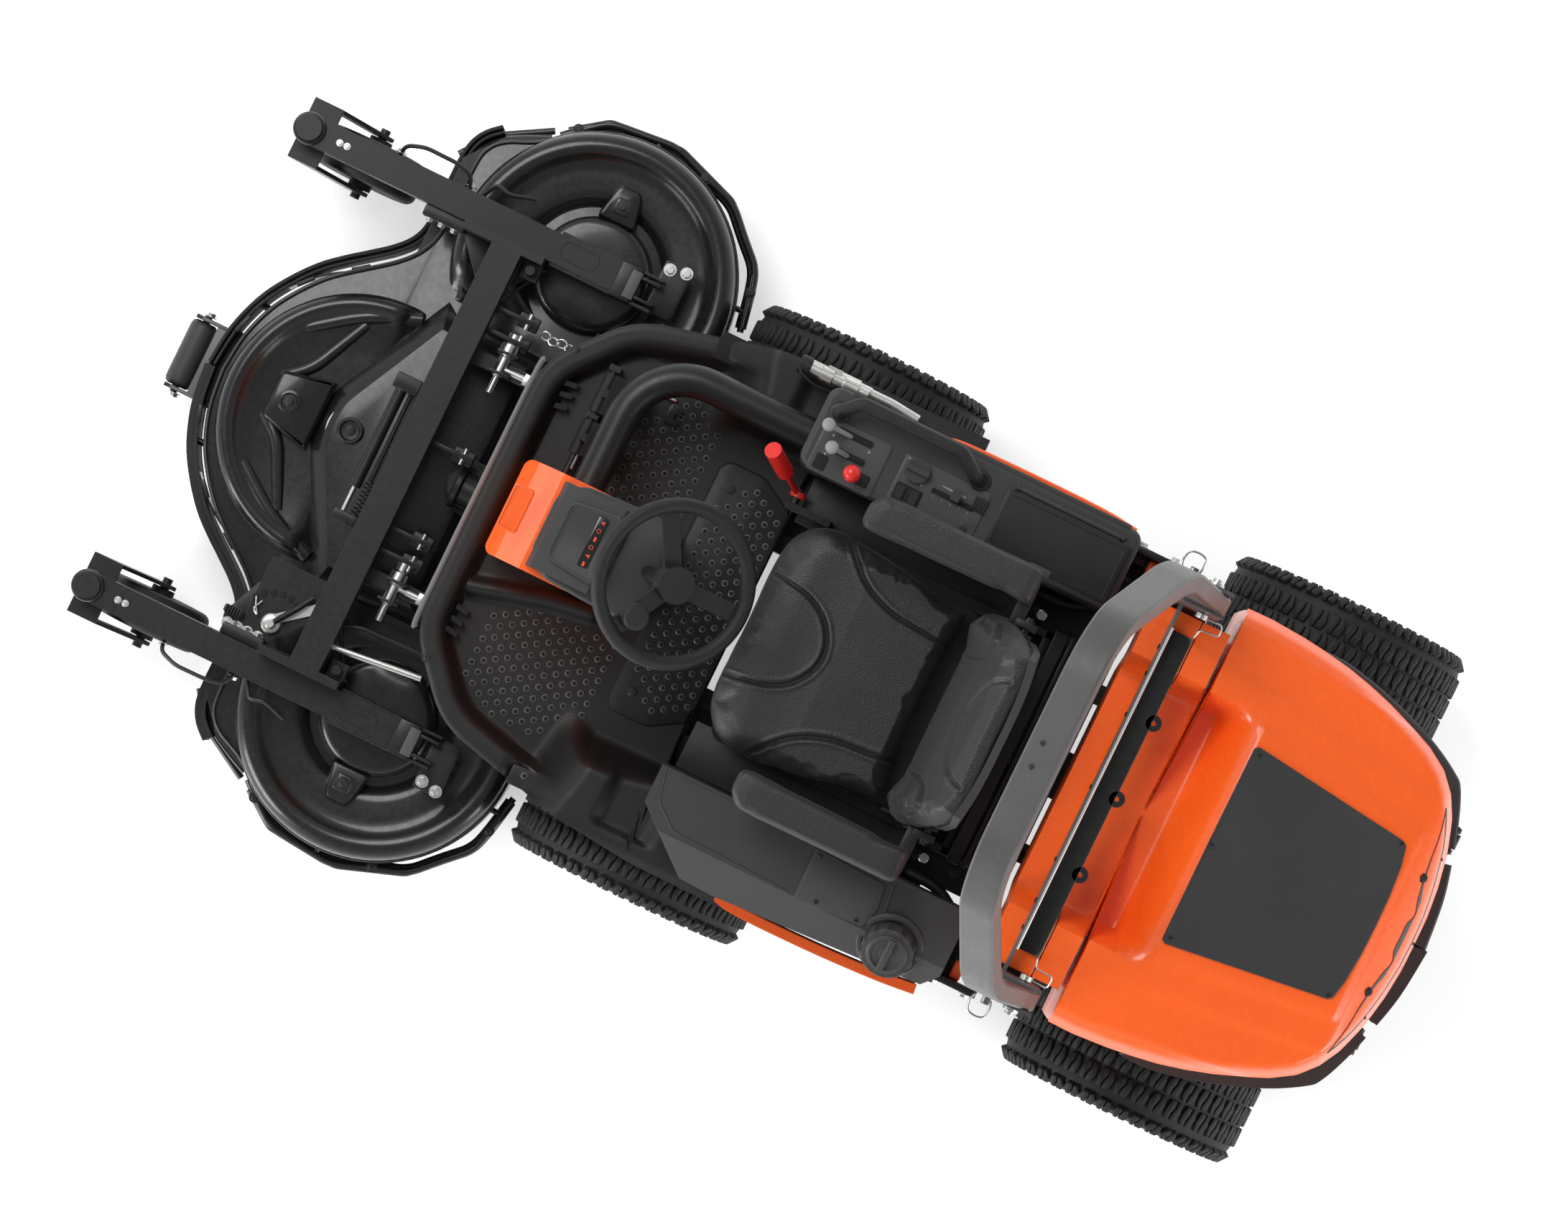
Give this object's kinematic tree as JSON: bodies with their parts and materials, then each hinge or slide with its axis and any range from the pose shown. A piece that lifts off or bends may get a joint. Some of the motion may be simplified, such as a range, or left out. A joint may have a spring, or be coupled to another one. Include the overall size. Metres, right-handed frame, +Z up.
{
  "type": "riding lawn mower",
  "caption": "Articulated riding mower with a front multi-blade deck on casters, operator platform, column steering, padded seat, folding roll-over hoop and rear engine under a hinged hood",
  "frame": {"origin": "on the ground under the middle of the overall length and width", "axes": "+Z up, deck towards -Y, operator's left +X"},
  "size_m": [1.6086, 2.711, 1.9574],
  "materials": {
    "frame_steel": "satin powder coat",
    "hoop_grey": "fine powder coat",
    "orange_gloss": "glossy",
    "orange_plastic": "satin",
    "red_plastic": "satin",
    "panel_plastic": "fine grain",
    "grip_rubber": "matte",
    "tyre_rubber": "matte",
    "seat_vinyl": "vinyl grain",
    "bright_steel": "zinc plated",
    "cast_metal": "as cast, painted"
  },
  "bodies": {
    "chassis": {"main_frame": "frame_steel", "seat_base": "frame_steel", "platform": "panel_plastic", "floor_lid": "frame_steel", "column_support": "frame_steel", "column_shroud": "orange_plastic", "dash_panel": "panel_plastic", "right_console": "panel_plastic", "grab_handle": "grip_rubber", "fuel_tank": "panel_plastic", "side_panels": "orange_plastic", "rops_base": "hoop_grey", "engine": "cast_metal", "battery": "panel_plastic", "hydraulic_couplings": "bright_steel"},
    "front_wheel_left": {"front_left_wheel": "tyre_rubber"},
    "front_wheel_right": {"front_right_wheel": "tyre_rubber"},
    "rear_wheel_left": {"rear_left_wheel": "tyre_rubber"},
    "rear_wheel_right": {"rear_right_wheel": "tyre_rubber"},
    "bogie": {"bogie_frame": "frame_steel"},
    "axle": {"rear_axle": "frame_steel"},
    "equipment_frame": {"lift_frame": "frame_steel", "caster_arms": "frame_steel"},
    "height_lever": {"height_lever": "bright_steel"},
    "deck": {"deck_shell": "frame_steel", "belt_covers": "panel_plastic", "deck_drive": "cast_metal", "drive_belt": "grip_rubber", "guard_rail": "frame_steel"},
    "blade_left": {"blade_left": "bright_steel"},
    "blade_middle": {"blade_middle": "bright_steel"},
    "blade_right": {"blade_right": "bright_steel"},
    "roller": {"front_roller": "panel_plastic"},
    "fork_left": {"caster_fork_left": "frame_steel"},
    "fork_right": {"caster_fork_right": "frame_steel"},
    "caster_left": {"caster_wheel_left": "tyre_rubber"},
    "caster_right": {"caster_wheel_right": "tyre_rubber"},
    "steering_wheel": {"steering_wheel": "grip_rubber"},
    "spinner_knob": {"spinner_knob": "panel_plastic"},
    "forward_pedal": {"forward_pedal": "frame_steel"},
    "reverse_pedal": {"reverse_pedal": "frame_steel"},
    "aux_lever_outer": {"aux_lever_outer": "bright_steel"},
    "aux_lever_inner": {"aux_lever_inner": "bright_steel"},
    "lift_lever": {"lift_lever": "red_plastic"},
    "throttle_lever": {"throttle_lever": "panel_plastic"},
    "key_knob": {"key_knob": "panel_plastic"},
    "rocker_front": {"rocker_front": "panel_plastic"},
    "rocker_rear": {"rocker_rear": "panel_plastic"},
    "brake_lever": {"brake_lever": "orange_plastic"},
    "console_lid": {"console_lid": "panel_plastic"},
    "fuel_cap": {"fuel_cap": "panel_plastic"},
    "seat": {"seat_pan": "frame_steel", "seat_cushion": "seat_vinyl"},
    "backrest": {"seat_back": "seat_vinyl"},
    "armrest_left": {"armrest_left": "seat_vinyl"},
    "armrest_right": {"armrest_right": "seat_vinyl"},
    "rops_hoop": {"rops_hoop": "hoop_grey"},
    "hood": {"hood": "orange_gloss", "hood_plate": "panel_plastic", "rear_bumper": "frame_steel"}
  },
  "joints": [
    {"name": "front_left_spin", "type": "hinge", "parent": "chassis", "child": "front_wheel_left", "pos_m": [0.4875, -0.0735, 0.252], "axis": [1, 0, 0], "continuous": true},
    {"name": "front_right_spin", "type": "hinge", "parent": "chassis", "child": "front_wheel_right", "pos_m": [-0.4875, -0.0735, 0.252], "axis": [1, 0, 0], "continuous": true},
    {"name": "bogie_swing", "type": "hinge", "parent": "chassis", "child": "bogie", "pos_m": [0, 0.5515, 0.252], "axis": [0, 0, 1], "range_deg": [-36, 36]},
    {"name": "axle_roll", "type": "hinge", "parent": "bogie", "child": "axle", "pos_m": [0, 0.8425, 0.252], "axis": [0, 1, 0], "range_deg": [-5, 5]},
    {"name": "rear_left_spin", "type": "hinge", "parent": "axle", "child": "rear_wheel_left", "pos_m": [0.428, 0.9925, 0.252], "axis": [1, 0, 0], "continuous": true},
    {"name": "rear_right_spin", "type": "hinge", "parent": "axle", "child": "rear_wheel_right", "pos_m": [-0.428, 0.9925, 0.252], "axis": [1, 0, 0], "continuous": true},
    {"name": "deck_lift", "type": "hinge", "parent": "chassis", "child": "equipment_frame", "pos_m": [0, -0.4635, 0.322], "axis": [-1, 0, 0], "range_deg": [0, 14]},
    {"name": "cutting_height", "type": "slide", "parent": "equipment_frame", "child": "deck", "axis": [0, 0, 1], "range_m": [-0.03, 0.02]},
    {"name": "height_lever_turn", "type": "hinge", "parent": "equipment_frame", "child": "height_lever", "pos_m": [0.413, -0.9285, 0.31], "axis": [0, 0, 1], "range_deg": [-30, 30]},
    {"name": "caster_swivel_left", "type": "hinge", "parent": "equipment_frame", "child": "fork_left", "pos_m": [0.502, -1.2855, 0.3], "axis": [0, 0, 1], "continuous": true},
    {"name": "caster_spin_left", "type": "hinge", "parent": "fork_left", "child": "caster_left", "pos_m": [0.502, -1.1685, 0.112], "axis": [1, 0, 0], "continuous": true},
    {"name": "caster_swivel_right", "type": "hinge", "parent": "equipment_frame", "child": "fork_right", "pos_m": [-0.502, -1.2855, 0.3], "axis": [0, 0, 1], "continuous": true},
    {"name": "caster_spin_right", "type": "hinge", "parent": "fork_right", "child": "caster_right", "pos_m": [-0.502, -1.1685, 0.112], "axis": [1, 0, 0], "continuous": true},
    {"name": "blade_middle_spin", "type": "hinge", "parent": "deck", "child": "blade_middle", "pos_m": [0, -0.9535, 0.1], "axis": [0, 0, 1], "continuous": true},
    {"name": "blade_left_spin", "type": "hinge", "parent": "deck", "child": "blade_left", "pos_m": [0.491, -0.6595, 0.1], "axis": [0, 0, 1], "continuous": true},
    {"name": "blade_right_spin", "type": "hinge", "parent": "deck", "child": "blade_right", "pos_m": [-0.491, -0.6595, 0.1], "axis": [0, 0, 1], "continuous": true},
    {"name": "roller_spin", "type": "hinge", "parent": "deck", "child": "roller", "pos_m": [0, -1.3275, 0.096], "axis": [1, 0, 0], "continuous": true},
    {"name": "steering_turn", "type": "hinge", "parent": "chassis", "child": "steering_wheel", "pos_m": [0, -0.2325, 0.95], "axis": [0, 0.3971, 0.9178], "range_deg": [-470, 470]},
    {"name": "knob_spin", "type": "hinge", "parent": "steering_wheel", "child": "spinner_knob", "pos_m": [0.086, -0.27839, 0.96986], "axis": [0, 0.3971, 0.9178], "continuous": true},
    {"name": "forward_pedal_press", "type": "hinge", "parent": "chassis", "child": "forward_pedal", "pos_m": [-0.281, -0.5285, 0.452], "axis": [1, 0, 0], "range_deg": [-14, 0], "stiffness_Nm_per_rad": 20},
    {"name": "reverse_pedal_press", "type": "hinge", "parent": "chassis", "child": "reverse_pedal", "pos_m": [-0.186, -0.5285, 0.452], "axis": [1, 0, 0], "range_deg": [-14, 0], "stiffness_Nm_per_rad": 20},
    {"name": "aux_outer_tilt", "type": "hinge", "parent": "chassis", "child": "aux_lever_outer", "pos_m": [-0.398, -0.0235, 0.815], "axis": [1, 0, 0], "range_deg": [-42, 8]},
    {"name": "aux_inner_tilt", "type": "hinge", "parent": "chassis", "child": "aux_lever_inner", "pos_m": [-0.362, -0.0235, 0.815], "axis": [1, 0, 0], "range_deg": [-24, 12]},
    {"name": "lift_lever_tilt", "type": "hinge", "parent": "chassis", "child": "lift_lever", "pos_m": [-0.334, -0.0235, 0.815], "axis": [1, 0, 0], "range_deg": [-28, 0]},
    {"name": "throttle_tilt", "type": "hinge", "parent": "chassis", "child": "throttle_lever", "pos_m": [-0.374, 0.1715, 0.8], "axis": [1, 0, 0], "range_deg": [-28, 28]},
    {"name": "key_turn", "type": "hinge", "parent": "chassis", "child": "key_knob", "pos_m": [-0.395, 0.0865, 0.85], "axis": [0, 0, 1], "range_deg": [-60, 0]},
    {"name": "rocker_front_tilt", "type": "hinge", "parent": "chassis", "child": "rocker_front", "pos_m": [-0.345, 0.0725, 0.842], "axis": [1, 0, 0], "range_deg": [-7, 7]},
    {"name": "rocker_rear_tilt", "type": "hinge", "parent": "chassis", "child": "rocker_rear", "pos_m": [-0.345, 0.1005, 0.842], "axis": [1, 0, 0], "range_deg": [-7, 7]},
    {"name": "brake_pull", "type": "hinge", "parent": "chassis", "child": "brake_lever", "pos_m": [-0.262, -0.0985, 0.64], "axis": [1, 0, 0], "range_deg": [-5, 30]},
    {"name": "console_lid_open", "type": "hinge", "parent": "chassis", "child": "console_lid", "pos_m": [-0.449, 0.3815, 0.855], "axis": [0, 1, 0], "range_deg": [-95, 0]},
    {"name": "fuel_cap_turn", "type": "hinge", "parent": "chassis", "child": "fuel_cap", "pos_m": [0.432, 0.4315, 0.812], "axis": [0.4067, 0, 0.9135], "range_deg": [0, 120]},
    {"name": "seat_slide", "type": "slide", "parent": "chassis", "child": "seat", "axis": [0, -1, 0], "range_m": [-0.015, 0.06]},
    {"name": "backrest_recline", "type": "hinge", "parent": "seat", "child": "backrest", "pos_m": [0, 0.3685, 0.69], "axis": [-1, 0, 0], "range_deg": [0, 12]},
    {"name": "armrest_left_fold", "type": "hinge", "parent": "backrest", "child": "armrest_left", "pos_m": [0.23, 0.3965, 0.905], "axis": [-1, 0, 0], "range_deg": [0, 80]},
    {"name": "armrest_right_fold", "type": "hinge", "parent": "backrest", "child": "armrest_right", "pos_m": [-0.23, 0.3965, 0.905], "axis": [-1, 0, 0], "range_deg": [0, 80]},
    {"name": "rops_fold", "type": "hinge", "parent": "chassis", "child": "rops_hoop", "pos_m": [0, 0.67211, 1.105], "axis": [-1, 0, 0], "range_deg": [0, 75]},
    {"name": "hood_open", "type": "hinge", "parent": "chassis", "child": "hood", "pos_m": [0, 1.3285, 0.598], "axis": [-1, 0, 0], "range_deg": [0, 65]}
  ],
  "couplings": [
    {"joint": "steering_turn", "follows": "bogie_swing", "ratio": 13},
    {"joint": "height_lever_turn", "follows": "cutting_height", "rad_per_m": 17},
    {"joint": "blade_left_spin", "follows": "blade_middle_spin", "ratio": 1},
    {"joint": "blade_right_spin", "follows": "blade_middle_spin", "ratio": 1}
  ]
}
